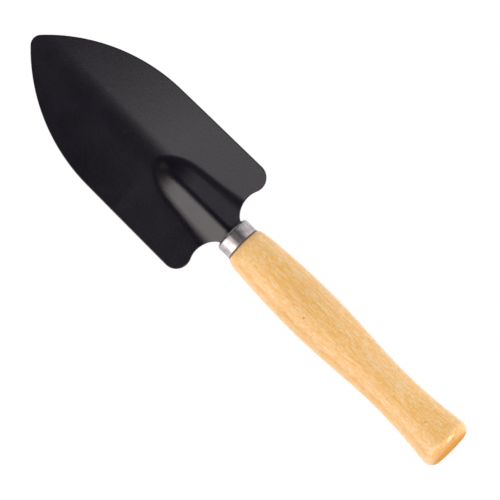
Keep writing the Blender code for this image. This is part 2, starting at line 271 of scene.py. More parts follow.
# %% [markdown]
# ## Sizes
# These are the trowel's own sizes in metres, the same as the solids have. Two sets of coordinates place
# everything. The blade is drawn in plan: "ahead" is in front of the ferrule's rim and "out" is away from
# the middle line. What is turned, and the tang, use the handle's axis, which rises towards the butt:
# "back" is behind the same rim along it, and "above" is square to it.

# %% Sizes of the blade
SHEET_THICKNESS = 0.0014
BLADE_LENGTH = 0.1312
TAPER_LENGTH = 0.0682
BLADE_WIDTH = 0.0646
HEEL_WIDTH = 0.0657
TIP_RADIUS = 0.0050
CORNER_RADIUS = 0.0072
NOTCH_RADIUS = 0.0122
NOTCH_DEPTH = 0.0050
WING_SLOPE = math.tan(math.radians(16.0))
TIP_WING_SLOPE = math.tan(math.radians(5.0))
TROUGH_WIDTH = 0.0152
HEEL_RISE = 0.00165
HEEL_RISE_LENGTH = 0.0600
TIP_RISE = 0.0015
TIP_RISE_LENGTH = 0.0410
RIB_LENGTH = 0.0472
RIB_NOSE_LENGTH = 0.0232
RIB_HEIGHT = 0.0080
RIB_ANGLE = math.radians(34.0)
CREST_RADIUS = 0.0036
VALLEY_RADIUS = 0.0060
HEEL_VALLEY_RADIUS = 0.0090
HEEL_VALLEY_LENGTH = 0.0200
NECK_REACH = 0.0018
TANG_LENGTH = 0.0450
TANG_RADIUS = 0.0038
TANG_FOLD = math.radians(65.0)
TANG_FOLD_LENGTH = 0.0065
TANG_POINT_LENGTH = 0.0100
TANG_POINT_SHARE = 0.45
RIB_SLOPE = math.tan(RIB_ANGLE)

# %% Sizes of the turned pieces
CLEARANCE = 0.0003
FERRULE_RADIUS = 0.0094
FERRULE_LENGTH = 0.0090
FERRULE_WALL = 0.0008
FERRULE_EDGE = 0.0014
FERRULE_LIP = 0.00025
TILT = math.radians(6.3)
HANDLE_LENGTH = 0.1395
FRONT_STEP = 0.0001
FRONT_RISE = 0.0018
FRONT_LENGTH = 0.0056
SWELL_RADIUS = 0.01315
SWELL_PLACE = 0.0467
WAIST_RADIUS = 0.0109
WAIST_PLACE = 0.0988
BUTT_RADIUS = 0.01345
BUTT_EDGE = 0.0047
BUTT_FLARE = math.radians(7.5)
PIN_RADIUS = 0.0009
PIN_HEAD_RADIUS = 0.0016
PIN_HEAD_HEIGHT = 0.0004
PIN_SETBACK = 0.0056
PIN_PAST_AXIS = 0.0060

OPENING_RADIUS = FERRULE_RADIUS - FERRULE_EDGE - FERRULE_LIP
NECK_HALF = OPENING_RADIUS - CLEARANCE
TANG_ROOT_HALF = TANG_RADIUS * TANG_FOLD * math.cos(RIB_ANGLE)
TENON_RADIUS = FERRULE_RADIUS - FERRULE_WALL - CLEARANCE
TENON_FRONT = NECK_REACH + CLEARANCE
BORE_MOUTH_END = NECK_REACH + TANG_FOLD_LENGTH
SHOULDER_BACK = FERRULE_LENGTH + CLEARANCE
BUTT_BACK = SHOULDER_BACK + HANDLE_LENGTH

# %% [markdown]
# ## From a grid of points to a mesh
# Every piece here is a surface: a function of two parameters, worked out on a whole grid at once. The
# grid's points go into the mesh as arrays, which is quicker and shorter than adding faces one by one.
# A closed surface whose volume comes out negative is inside out, so its faces are turned round.

# %% Meshes from arrays
CELL = 0.0005
RIB_CELL = 1.1 * CELL
PLATE_CELL = 1.3 * CELL
ARC_STEPS = 24
DOME_STEPS = 12
SMALL_ARC_STEPS = 6
MERGE = 0.0000001
SHARP_ANGLE = math.radians(35)


def between(start, end, cell=CELL):
    """Even steps after start, up to and including end, none longer than one cell."""
    count = max(1, math.ceil(abs(end - start) / cell - 1e-6))
    return np.linspace(start, end, count + 1)[1:]


def quads_of(index):
    """The four corners of every cell of a grid of vertex numbers. Cells with a missing corner go."""
    corners = np.stack([index[:-1, :-1], index[1:, :-1], index[1:, 1:], index[:-1, 1:]], axis=-1)
    corners = corners.reshape(-1, 4)
    return corners[(corners >= 0).all(axis=1)]


def volume_of(points, quads):
    """Sum over the faces of the signed volume of the pyramid from the origin to each face."""
    a, b, c, d = (points[quads[:, corner]] for corner in range(4))
    one = np.einsum("ij,ij->i", a, np.cross(b, c))
    other = np.einsum("ij,ij->i", a, np.cross(c, d))
    return float((one + other).sum() / 6)


def make_piece(name, points, quads):
    """A closed object from points and four-cornered faces, its seams merged."""
    if volume_of(points, quads) < 0:
        quads = quads[:, ::-1]
    mesh = bpy.data.meshes.new(name)
    mesh.vertices.add(len(points))
    mesh.vertices.foreach_set("co", points.astype(np.float32).ravel())
    mesh.loops.add(quads.size)
    mesh.loops.foreach_set("vertex_index", quads.astype(np.int32).ravel())
    mesh.polygons.add(len(quads))
    mesh.polygons.foreach_set("loop_start", np.arange(0, quads.size, 4, dtype=np.int32))
    mesh.update(calc_edges=True)
    mesh.validate()
    bm = bmesh.new()
    bm.from_mesh(mesh)
    bmesh.ops.remove_doubles(bm, verts=bm.verts, dist=MERGE)
    open_edges = sum(1 for edge in bm.edges if len(edge.link_faces) != 2)
    bm.to_mesh(mesh)
    bm.free()
    item = bpy.data.objects.new(name, mesh)
    bpy.context.scene.collection.objects.link(item)
    print(name, "faces:", len(mesh.polygons), "open edges:", open_edges)
    return item


# %% [markdown]
# ## The frame of the handle's axis
# The ferrule, the handle and the nail were made on a lathe or in a die, round an axis of their own.
# Turning objects into place would leave a rotation on them, so the axis is written into the points.

# %% Places along the handle's axis
def glide(back_a, radius_a, slope_a, back_b, radius_b, slope_b):
    """A cubic from one (back, radius) to the next that has the two slopes given at its ends."""
    t = between(0.0, 1.0, CELL / (back_b - back_a))
    length = back_b - back_a
    radius = ((2 * t ** 3 - 3 * t ** 2 + 1) * radius_a + (3 * t ** 2 - 2 * t ** 3) * radius_b
              + (t ** 3 - 2 * t ** 2 + t) * length * slope_a + (t ** 3 - t ** 2) * length * slope_b)
    return np.stack([back_a + length * t, radius], axis=-1)


def arc(centre_back, centre_radius, size, start, end, steps=ARC_STEPS):
    """Part of a circle as (back, radius): centre plus size times (sine, cosine) of the angle."""
    angle = np.linspace(start, end, steps + 1)
    return np.stack([centre_back + size * np.sin(angle), centre_radius + size * np.cos(angle)], axis=-1)


def grip_outline():
    """The grip from its shoulder to its flat butt: a rounded front, a swell, a waist and a flare."""
    front_radius = FERRULE_RADIUS + FRONT_STEP
    shoulder_radius = front_radius + FRONT_RISE
    swell_back = SHOULDER_BACK + SWELL_PLACE
    waist_back = SHOULDER_BACK + WAIST_PLACE
    front_end = SHOULDER_BACK + FRONT_LENGTH
    front_slope = 2 * FRONT_RISE / FRONT_LENGTH
    swell_slope = 2 * (SWELL_RADIUS - shoulder_radius) / (swell_back - front_end)
    edge_back = BUTT_BACK - BUTT_EDGE
    edge_radius = BUTT_RADIUS - BUTT_EDGE
    flare_back = edge_back - BUTT_EDGE * math.sin(BUTT_FLARE)
    flare_radius = edge_radius + BUTT_EDGE * math.cos(BUTT_FLARE)
    return np.concatenate([
        [(SHOULDER_BACK, front_radius)],
        glide(SHOULDER_BACK, front_radius, front_slope, front_end, shoulder_radius, swell_slope),
        glide(front_end, shoulder_radius, swell_slope, swell_back, SWELL_RADIUS, 0.0),
        glide(swell_back, SWELL_RADIUS, 0.0, waist_back, WAIST_RADIUS, 0.0),
        glide(waist_back, WAIST_RADIUS, 0.0, flare_back, flare_radius, math.tan(BUTT_FLARE)),
        arc(edge_back, edge_radius, BUTT_EDGE, -BUTT_FLARE, math.pi / 2)[1:],
    ])


grip = grip_outline()
pin_head_top = FERRULE_RADIUS + CLEARANCE + PIN_HEAD_HEIGHT
low_points = np.vstack([grip, [(PIN_SETBACK, pin_head_top)]])
AXIS_HEIGHT = float((low_points[:, 1] * math.cos(TILT) - low_points[:, 0] * math.sin(TILT)).max())
BUTT_REACH = ((BUTT_BACK - BUTT_EDGE) * math.cos(TILT)
              + (BUTT_RADIUS - BUTT_EDGE) * math.sin(TILT) + BUTT_EDGE)
RIM_X = (BUTT_REACH - BLADE_LENGTH) / 2
RIM_CENTRE = np.array([RIM_X, 0.0, AXIS_HEIGHT])
FORWARD = np.array([math.cos(TILT), 0.0, -math.sin(TILT)])
UPWARD = np.array([math.sin(TILT), 0.0, math.cos(TILT)])
SIDEWARD = np.array([0.0, 1.0, 0.0])


def on_axis(back, out, above):
    """The rim's centre, less back times forward, plus above times upward, plus out times sideward."""
    back, out, above = np.broadcast_arrays(back, out, above)
    return (RIM_CENTRE - back[..., None] * FORWARD + above[..., None] * UPWARD
            + out[..., None] * SIDEWARD)


print("Rim at x =", round(RIM_X, 5), "and axis height =", round(AXIS_HEIGHT, 5))

# %% [markdown]
# ## The pressed blade
# The blade is one stamping. A press cuts the pointed blank, dishes it to a shallow V and raises the rib,
# the long roof that stiffens the neck. It could be modelled by pushing the vertices of a plane about, or
# by subdividing a coarse cage, but both lose the crisp roof. Here the height of the pressed face is
# written as a formula: the higher of the wings and the rib's roof, with a fillet where they meet.

# %% Height of the pressed face
def soft_abs(distance, half):
    """The size of a distance, its sharp turn at 0 made a parabola from -half to half."""
    size = np.abs(distance)
    return np.where(size > half, size - half / 2, size ** 2 / (2 * half))


def soft_max(one, other, reach):
    """The higher of two heights, with a fillet where they are less than reach apart."""
    overlap = np.maximum(reach - np.abs(one - other), 0.0) / reach
    return np.maximum(one, other) + overlap ** 2 * reach / 4


def trough_height(ahead):
    """The middle line without its rib: level, with a parabola up to the heel and one to the tip."""
    heel = np.maximum(1 - ahead / HEEL_RISE_LENGTH, 0.0)
    tip = np.maximum(1 - (BLADE_LENGTH - ahead) / TIP_RISE_LENGTH, 0.0)
    return SHEET_THICKNESS + HEEL_RISE * heel ** 2 + TIP_RISE * tip ** 2


def crest_height(ahead):
    """The rib's crest: a straight fall from the neck, and a nose that rounds off by a fourth power."""
    nose_start = RIB_LENGTH - RIB_NOSE_LENGTH
    neck_rise = AXIS_HEIGHT + TANG_RADIUS * math.cos(TILT) - trough_height(0.0)
    rise = neck_rise + (RIB_HEIGHT - neck_rise) * np.minimum(ahead, RIB_LENGTH) / nose_start
    nose = np.maximum(ahead - nose_start, 0.0) / RIB_NOSE_LENGTH
    return trough_height(ahead) + rise * (1 - nose ** 4)


def valley_radius(ahead):
    """The fillet between rib and wing, which opens towards the heel."""
    heel = np.maximum(1 - ahead / HEEL_VALLEY_LENGTH, 0.0)
    return VALLEY_RADIUS + (HEEL_VALLEY_RADIUS - VALLEY_RADIUS) * heel


def pressed_height(ahead, out):
    """A soft V whose slope fades from full over the rib to slight at the tip, and the rib's roof."""
    share = np.clip((BLADE_LENGTH - ahead) / (BLADE_LENGTH - RIB_LENGTH), 0.0, 1.0)
    slope = TIP_WING_SLOPE + (WING_SLOPE - TIP_WING_SLOPE) * share
    wings = trough_height(ahead) + slope * soft_abs(out, TROUGH_WIDTH / 2)
    roof = crest_height(ahead) - RIB_SLOPE * soft_abs(out, CREST_RADIUS * RIB_SLOPE)
    return soft_max(wings, roof, valley_radius(ahead) * (slope + RIB_SLOPE) ** 2 / 2)


print("Crest above the trough at the neck:", round(float(crest_height(0.0) - trough_height(0.0)), 5))

# %% [markdown]
# ## The blade's outline
# In plan the outline is arcs and straight lines: a tip arc, two long side arcs, nearly parallel sides,
# round heel corners, and the two notches beside the neck. The coated edge is rounded, so the flat faces
# stop one edge radius short of the outline. Every arc keeps its centre and only its radius changes.

# %% Outline of the blank
EDGE_ROUND = 0.00035
EDGE_LEAN = SHEET_THICKNESS * WING_SLOPE / math.hypot(1.0, WING_SLOPE)
BLADE_HALF = BLADE_WIDTH / 2 - EDGE_LEAN
HEEL_HALF = HEEL_WIDTH / 2 - EDGE_LEAN
TAPER_START = BLADE_LENGTH - TAPER_LENGTH
SIDE_RADIUS = (((TAPER_LENGTH - TIP_RADIUS) ** 2 + BLADE_HALF ** 2 - TIP_RADIUS ** 2)
               / (2 * (BLADE_HALF - TIP_RADIUS)))
TIP_SHARE = (SIDE_RADIUS - BLADE_HALF) / (SIDE_RADIUS - TIP_RADIUS)
NOTCH_AHEAD = NOTCH_DEPTH - NOTCH_RADIUS
NOTCH_OUT = NECK_HALF + math.sqrt(NOTCH_RADIUS ** 2 - NOTCH_AHEAD ** 2)
CORNER_OUT = HEEL_HALF - CORNER_RADIUS
CORNER_AHEAD = NOTCH_AHEAD + math.sqrt((NOTCH_RADIUS + CORNER_RADIUS) ** 2
                                       - (CORNER_OUT - NOTCH_OUT) ** 2)
NOTCH_SIZE = NOTCH_RADIUS + EDGE_ROUND
CORNER_SIZE = CORNER_RADIUS - EDGE_ROUND
TIP_SIZE = TIP_RADIUS - EDGE_ROUND
ARCS_MEET_OUT = NOTCH_OUT + (CORNER_OUT - NOTCH_OUT) * NOTCH_SIZE / (NOTCH_SIZE + CORNER_SIZE)


def root(square):
    """The square root, taking the rounding errors just below 0 as 0."""
    return np.sqrt(np.maximum(square, 0.0))


def front_edge(out):
    """How far ahead the tip's arc and, further out, the long arc of the side lie."""
    tip = BLADE_LENGTH - TIP_RADIUS + root(TIP_SIZE ** 2 - out ** 2)
    from_centre = out + SIDE_RADIUS - BLADE_HALF
    side = TAPER_START + root((SIDE_RADIUS - EDGE_ROUND) ** 2 - from_centre ** 2)
    return np.where(out < TIP_SIZE * TIP_SHARE, tip, side)


def rear_edge(out):
    """How far ahead the heel lies: 0 at the neck, the notch's hollow arc, the round corner."""
    notch = NOTCH_AHEAD + root(NOTCH_SIZE ** 2 - (out - NOTCH_OUT) ** 2)
    corner = CORNER_AHEAD - root(CORNER_SIZE ** 2 - (out - CORNER_OUT) ** 2)
    heel = np.where(out < ARCS_MEET_OUT, notch, corner)
    return np.where(out <= NECK_HALF - EDGE_ROUND, 0.0, heel)


def side_line(ahead):
    """Half the width between the sides, which open slightly towards the heel."""
    share = np.clip((ahead - CORNER_AHEAD) / (TAPER_START - CORNER_AHEAD), 0.0, 1.0)
    return HEEL_HALF + (BLADE_HALF - HEEL_HALF) * share - EDGE_ROUND


print("Side arc radius:", round(SIDE_RADIUS, 4), "heel corner ahead of the rim:", round(CORNER_AHEAD, 4))

# %% [markdown]
# ## The neck and the tang
# Behind the rib the same sheet runs on: the roof goes straight through the ferrule's mouth as the neck,
# then narrows and folds down into a half tube, the tang, which is driven into the wood. Nobody sees it,
# yet it is why the blade stays on, so the surface carries on without a seam.

# %% Neck and tang
def neck_point(back, out):
    """The rib's roof carried straight back along the handle's axis, its crest at the tang's top."""
    return on_axis(back, out, TANG_RADIUS - RIB_SLOPE * soft_abs(out, CREST_RADIUS * RIB_SLOPE))


def tang_point(back, share):
    """The roof folding into a half tube, which narrows towards the tang's end."""
    flat = neck_point(back, share * TANG_ROOT_HALF)
    to_point = np.minimum((TANG_LENGTH - back) / TANG_POINT_LENGTH, 1.0)
    angle = share * TANG_FOLD * (TANG_POINT_SHARE + (1 - TANG_POINT_SHARE) * to_point)
    tube = on_axis(back, TANG_RADIUS * np.sin(angle), TANG_RADIUS * np.cos(angle))
    fold = np.minimum((back - NECK_REACH) / TANG_FOLD_LENGTH, 1.0)[..., None]
    return flat + (tube - flat) * (3 * fold ** 2 - 2 * fold ** 3)


# %% [markdown]
# ## One grid for the whole stamping
# Rows run from the tang's end to the tip and columns across. The tang and the neck use only the middle
# columns, so their rows are left empty further out. Towards the sides the columns crowd together like
# the sine of an angle, which keeps the points even along the arcs that end there.

# %% Grid of the upper face
CORNER_STEPS = 24
NECK_STEPS = 4


def blade_grid():
    """Points of the upper face, rows by columns by xyz, with the tang's and the neck's columns."""
    tang_edge = TANG_ROOT_HALF - EDGE_ROUND
    neck_edge = NECK_HALF - EDGE_ROUND
    corner_angle = np.linspace(0.0, math.pi / 2, CORNER_STEPS + 1)[1:]
    half = [[0.0], between(0.0, tang_edge), between(tang_edge, neck_edge)]
    tang_columns = len(half[0]) + len(half[1]) - 1
    neck_columns = tang_columns + len(half[2])
    half += [between(neck_edge, NOTCH_OUT), between(NOTCH_OUT, ARCS_MEET_OUT),
             between(ARCS_MEET_OUT, CORNER_OUT), CORNER_OUT + CORNER_SIZE * np.sin(corner_angle)]
    half = np.concatenate(half)
    out = np.concatenate([-half[:0:-1], half])
    middle = len(half) - 1

    nose_start = RIB_LENGTH - RIB_NOSE_LENGTH
    end = BLADE_LENGTH - EDGE_ROUND
    place = np.concatenate([[0.0], between(0.0, nose_start, RIB_CELL),
                            between(nose_start, RIB_LENGTH), between(RIB_LENGTH, end, PLATE_CELL)])
    place, size = place[:, None], np.abs(out)[None, :]
    near = place + rear_edge(size) * np.maximum(1 - place / nose_start, 0.0)
    far = np.maximum(place - RIB_LENGTH, 0.0) / (end - RIB_LENGTH)
    half_now, half_full = BLADE_HALF - EDGE_ROUND, HEEL_HALF - EDGE_ROUND
    reach = front_edge(size * half_now / half_full) - RIB_LENGTH
    ahead = np.where(place > RIB_LENGTH, RIB_LENGTH + reach * far, near)
    across = out[None, :] / half_full * side_line(ahead)
    blade = np.stack([RIM_X + ahead, across, pressed_height(ahead, across)], axis=-1)

    neck = slice(middle - neck_columns, middle + neck_columns + 1)
    tang = slice(middle - tang_columns, middle + tang_columns + 1)
    blade[0, neck] = neck_point(0.0, out[neck])
    neck_back = np.linspace(NECK_REACH, 0.0, NECK_STEPS + 1)[:-1, None]
    tang_back = between(NECK_REACH, TANG_LENGTH, PLATE_CELL)[::-1, None]
    rows = len(tang_back) + len(neck_back) + len(blade)
    grid = np.full((rows, len(out), 3), np.nan)
    grid[:len(tang_back), tang] = tang_point(tang_back, out[None, tang] / TANG_ROOT_HALF)
    grid[len(tang_back):-len(blade), neck] = neck_point(neck_back, out[None, neck])
    grid[-len(blade):] = blade
    return grid, tang, neck, len(tang_back), len(tang_back) + len(neck_back)


upper, tang_span, neck_span, neck_row, blade_row = blade_grid()
print("Grid of the blade:", upper.shape[0], "rows by", upper.shape[1], "columns")

# %% [markdown]
# ## Thickness and the rounded edge
# A Solidify modifier would give the sheet a square cut edge and a Bevel would then have to round the
# needle-thin cells at the sides. It is simpler to build the edge as a third surface: each point of the
# border is carried round a small quarter circle, down the cut face, and round a second quarter circle.

# %% Sheet from its upper face
EDGE_ANGLES = np.radians([22.5, 45.0, 67.5, 90.0])


def border_of(index):
    """The vertex numbers once round the stamping, counter-clockwise seen from above."""
    left, right = neck_span.stop - 1, neck_span.start
    tang_left, tang_right = tang_span.stop - 1, tang_span.start
    return np.concatenate([
        index[blade_row:-1, 0], index[-1, :-1], index[:blade_row:-1, -1],
        index[blade_row, :left:-1], index[blade_row:neck_row:-1, left],
        index[neck_row, left:tang_left:-1], index[neck_row:0:-1, tang_left],
        index[0, tang_left:tang_right:-1], index[0:neck_row, tang_right],
        index[neck_row, tang_right:right:-1], index[neck_row:blade_row, right],
        index[blade_row, right:0:-1],
    ])


def normals_of(points, quads):
    """Each vertex's normal: the sum of its faces' normals, which are cross products of diagonals."""
    a, b, c, d = (points[quads[:, corner]] for corner in range(4))
    face = np.cross(c - a, d - b)
    total = np.zeros_like(points)
    for corner in range(4):
        np.add.at(total, quads[:, corner], face)
    return total / np.linalg.norm(total, axis=1, keepdims=True)


def sheet_of(grid):
    """The closed sheet: upper face, lower face one thickness down its normals, and rounded edge."""
    there = ~np.isnan(grid[..., 0])
    index = np.where(there, np.cumsum(there).reshape(there.shape) - 1, -1)
    top = grid[there]
    quads = quads_of(index)
    normal = normals_of(top, quads)
    bottom = top - SHEET_THICKNESS * normal
    border = border_of(index)
    start, down = top[border], normal[border]
    along = np.roll(start, -1, axis=0) - np.roll(start, 1, axis=0)
    outward = np.cross(along, down)
    outward /= np.linalg.norm(outward, axis=1, keepdims=True)
    reach = EDGE_ROUND * np.concatenate([np.sin(EDGE_ANGLES), np.sin(EDGE_ANGLES)[::-1]])
    depth = EDGE_ROUND * (1 - np.cos(EDGE_ANGLES))
    depth = np.concatenate([depth, SHEET_THICKNESS - depth[::-1]])
    rings = start + reach[:, None, None] * outward - depth[:, None, None] * down
    points = np.concatenate([top, bottom, rings.reshape(-1, 3)])
    ring_index = 2 * len(top) + np.arange(rings.shape[0] * len(border)).reshape(-1, len(border))
    edge_index = np.vstack([border, ring_index, border + len(top)])
    edge_index = np.hstack([edge_index, edge_index[:, :1]])
    faces = np.concatenate([quads, quads[:, ::-1] + len(top), quads_of(edge_index)])
    return points, faces


blade = make_piece("trowel_blade", *sheet_of(upper))

# %% [markdown]
# ## Turned pieces
# A lathe works on an outline and turns it about an axis. So does this: each point (back, radius) becomes
# a ring. The Screw modifier could do it, but then the axis would be a rotation left on the object.
# An outline that starts and ends on the axis closes by itself once the doubled points there are merged.

# %% Turning an outline
RING_STEPS = 160


def turned(name, outline, closed, centre, forward, upward, steps=RING_STEPS):
    """Rings round an axis: centre - back forward + radius (cosine upward + sine sideward)."""
    sideward = np.cross(upward, forward)
    angle = np.linspace(0.0, 2 * math.pi, steps, endpoint=False)
    round_it = np.cos(angle)[:, None] * upward + np.sin(angle)[:, None] * sideward
    back, radius = outline[:, 0, None, None], outline[:, 1, None, None]
    points = centre - back * forward + radius * round_it
    index = np.arange(len(outline) * steps).reshape(len(outline), steps)
    index = np.hstack([index, index[:, :1]])
    if closed:
        index = np.vstack([index, index[:1]])
    return make_piece(name, points.reshape(-1, 3), quads_of(index))


def rounded_loop(corners, steps=8):
    """A closed outline whose corners (back, radius, fillet) are rounded by arcs.

    An arc touches both straight lines. Its ends lie fillet times the tangent of half the turn from
    the corner, and its points are the corner's circle centre plus fillet times a turning direction.
    """
    spots = np.array([corner[:2] for corner in corners])
    pieces = []
    for spot, before, after, corner in zip(spots, np.roll(spots, 1, 0), np.roll(spots, -1, 0), corners):
        arriving = (spot - before) / np.linalg.norm(spot - before)
        leaving = (after - spot) / np.linalg.norm(after - spot)
        turn = math.acos(float(np.clip(arriving @ leaving, -1.0, 1.0)))
        inward = leaving - arriving
        centre = spot + inward / np.linalg.norm(inward) * corner[2] / math.cos(turn / 2)
        start = spot - arriving * corner[2] * math.tan(turn / 2) - centre
        end = spot + leaving * corner[2] * math.tan(turn / 2) - centre
        share = np.linspace(0.0, 1.0, steps + 1)[:, None]
        pieces.append(centre + (np.sin((1 - share) * turn) * start
                                + np.sin(share * turn) * end) / math.sin(turn))
    return np.concatenate(pieces)


# %% [markdown]
# ## The ferrule
# A ferrule keeps the wood from splitting when the tang is driven. This one is a short cup drawn from
# plated strip: thin wall, a generous round where the bottom was drawn over the punch, and the bottom
# pierced to leave a narrow lip round the neck. Its outline is six corners with a fillet each. Seen from
# above the cup's front edge lies a little behind the rim that the solids start at, and its rear edge
# closes most of the gap before the wood, so both are set as they show.

# %% Ferrule
LIP_ROUND = 0.00022
CUT_ROUND = 0.00014
FRONT_SETBACK = 0.0012
REAR_REACH = 0.0002
ferrule_end = FERRULE_LENGTH + REAR_REACH
mouth_end = FRONT_SETBACK + FERRULE_WALL
inner_radius = FERRULE_RADIUS - FERRULE_WALL
ferrule_outline = rounded_loop([
    (FRONT_SETBACK, OPENING_RADIUS, LIP_ROUND),
    (FRONT_SETBACK, FERRULE_RADIUS, FERRULE_EDGE),
    (ferrule_end, FERRULE_RADIUS, CUT_ROUND),
    (ferrule_end, inner_radius, CUT_ROUND),
    (mouth_end, inner_radius, FERRULE_EDGE - FERRULE_WALL),
    (mouth_end, OPENING_RADIUS, LIP_ROUND),
])
ferrule = turned("plated_ferrule", ferrule_outline, True, RIM_CENTRE, FORWARD, UPWARD)

# %% [markdown]
# ## The handle
# The grip is turned between centres from one blank: a rounded shoulder, a swell for the palm, a waist
# for the last fingers and a flared butt with a well-rounded edge. The same outline runs on inside, over
# the tenon that the ferrule sits on and down the drilled bore, so that the solid is complete.

# %% Handle
SHOULDER_ROUND = 0.0006
SHOULDER_LEAN = math.radians(20)
mouth_above = TANG_RADIUS - RIB_SLOPE * soft_abs(TANG_ROOT_HALF, CREST_RADIUS * RIB_SLOPE)
mouth_radius = math.hypot(TANG_ROOT_HALF, float(mouth_above)) + CLEARANCE
bore_radius = TANG_RADIUS + CLEARANCE
bore_end = TANG_LENGTH + CLEARANCE
front_arc = arc(SHOULDER_BACK + SHOULDER_ROUND, grip[0, 1] - SHOULDER_ROUND / 2, SHOULDER_ROUND,
                -math.pi / 2, -SHOULDER_LEAN, SMALL_ARC_STEPS)
handle_outline = np.concatenate([
    [(bore_end, 0.0), (bore_end, bore_radius), (BORE_MOUTH_END, bore_radius),
     (TENON_FRONT, mouth_radius), (TENON_FRONT, TENON_RADIUS), (SHOULDER_BACK, TENON_RADIUS)],
    front_arc, grip[2:], [(BUTT_BACK, 0.0)],
])
handle = turned("wooden_handle", handle_outline, False, RIM_CENTRE, FORWARD, UPWARD)

# %% [markdown]
# ## The nail and its hole
# From the underside a small round-headed nail goes through ferrule, tenon and tang. The three are
# drilled together, so one cutter makes the same hole in all of them. The holes are cut into the meshes
# for good and the cutter is thrown away, because it isn't a piece of the trowel. A cut leaves faces with
# many corners, some of them in one line, and splitting those gives needles without an area. So they are
# split here, the needles are dissolved, and a count shows that no thin face and no open edge is left.

# %% Nail
HEAD_EDGE_ROUND = 0.00008
HEAD_EDGE_LEAN = math.radians(30)
PIN_POINT_LENGTH = 2 * PIN_RADIUS
PIN_POINT_RADIUS = PIN_RADIUS / 3
PIN_STEPS = 64
seat = FERRULE_RADIUS + CLEARANCE
pin_centre = on_axis(PIN_SETBACK, 0.0, 0.0)
dome = (PIN_HEAD_RADIUS ** 2 + PIN_HEAD_HEIGHT ** 2) / (2 * PIN_HEAD_HEIGHT)
dome_angle = math.asin((PIN_HEAD_RADIUS - HEAD_EDGE_ROUND) / dome)
pin_outline = np.concatenate([
    arc(dome - seat - PIN_HEAD_HEIGHT, 0.0, dome, -math.pi / 2, -math.pi / 2 + dome_angle, DOME_STEPS),
    arc(-seat - HEAD_EDGE_ROUND, PIN_HEAD_RADIUS - HEAD_EDGE_ROUND, HEAD_EDGE_ROUND,
        -HEAD_EDGE_LEAN, math.pi / 2, SMALL_ARC_STEPS),
    [(-seat, PIN_RADIUS), (PIN_PAST_AXIS - PIN_POINT_LENGTH, PIN_RADIUS),
     (PIN_PAST_AXIS, PIN_POINT_RADIUS), (PIN_PAST_AXIS, 0.0)],
])
pin = turned("ferrule_nail", pin_outline, False, pin_centre, -UPWARD, FORWARD, PIN_STEPS)

# %% Drilled holes
DRILL_STEPS = 48
SLIVER = 0.000001
QUAD_CORNERS = 4
drill_start = -seat - FERRULE_WALL
drill_end = PIN_PAST_AXIS + CLEARANCE
drill_radius = PIN_RADIUS + CLEARANCE
drill_outline = np.array([(drill_start, 0.0), (drill_start, drill_radius),
                          (drill_end, drill_radius), (drill_end, 0.0)])
drill = turned("drill", drill_outline, False, pin_centre, -UPWARD, FORWARD, DRILL_STEPS)


def drill_into(piece):
    """Cut the hole into the piece's mesh with a Boolean modifier and keep the result."""
    hole = piece.modifiers.new("nail_hole", "BOOLEAN")
    hole.operation = "DIFFERENCE"
    hole.solver = "EXACT"
    hole.object = drill
    bpy.context.view_layer.update()
    depsgraph = bpy.context.evaluated_depsgraph_get()
    whole = piece.data
    piece.data = bpy.data.meshes.new_from_object(piece.evaluated_get(depsgraph), depsgraph=depsgraph)
    piece.modifiers.clear()
    bpy.data.meshes.remove(whole)


def clear_slivers(piece):
    """Split the faces with many corners, dissolve needles without an area, and count what is left."""
    bm = bmesh.new()
    bm.from_mesh(piece.data)
    bmesh.ops.dissolve_degenerate(bm, dist=SLIVER, edges=bm.edges)
    bmesh.ops.triangulate(bm, faces=[face for face in bm.faces if len(face.verts) > QUAD_CORNERS])
    bmesh.ops.dissolve_degenerate(bm, dist=SLIVER, edges=bm.edges)
    thin = sum(1 for face in bm.faces if face.calc_area() < SLIVER ** 2)
    open_edges = sum(1 for edge in bm.edges if len(edge.link_faces) != 2)
    bm.to_mesh(piece.data)
    bm.free()
    print(piece.name, "drilled, thin faces:", thin, "open edges:", open_edges)


for piece in (blade, ferrule, handle):
    drill_into(piece)
    clear_slivers(piece)
bpy.data.objects.remove(drill)

for piece in (blade, ferrule, handle, pin):
    piece.data.name = piece.name
    piece.data.shade_smooth()
    piece.data.set_sharp_from_angle(angle=SHARP_ANGLE)
    triangles = sum(len(face.vertices) - 2 for face in piece.data.polygons)
    print(piece.name, "triangles:", triangles)

# %% [markdown]
# ## Black powder coat
# The coat is baked plastic powder: satin black, with a very fine orange-peel of its own and the odd
# grain of dust on it. Paint could be one black colour, but it is the broken-up reflection that tells
# powder from lacquer, so most of the work goes into bump and roughness. The colour only mottles faintly,
# and leans to violet as the darkest parts of the photograph do.

# %% Powder coat
PEEL_SCALE = 900.0
GRAIN_SCALE = 2600.0
CLOUD_SCALE = 60.0
DUST_SCALE = 240.0
SPECK_EDGE = 0.034
SPECK_CORE = 0.018
COAT_DARK = colour(0.0004, 0.0000, 0.0030)
COAT_LIGHT = colour(0.0054, 0.0028, 0.0090)
DUST = colour(0.30, 0.29, 0.28)
COAT_RELIEF = 0.000065
COAT_GLOSS = 0.52


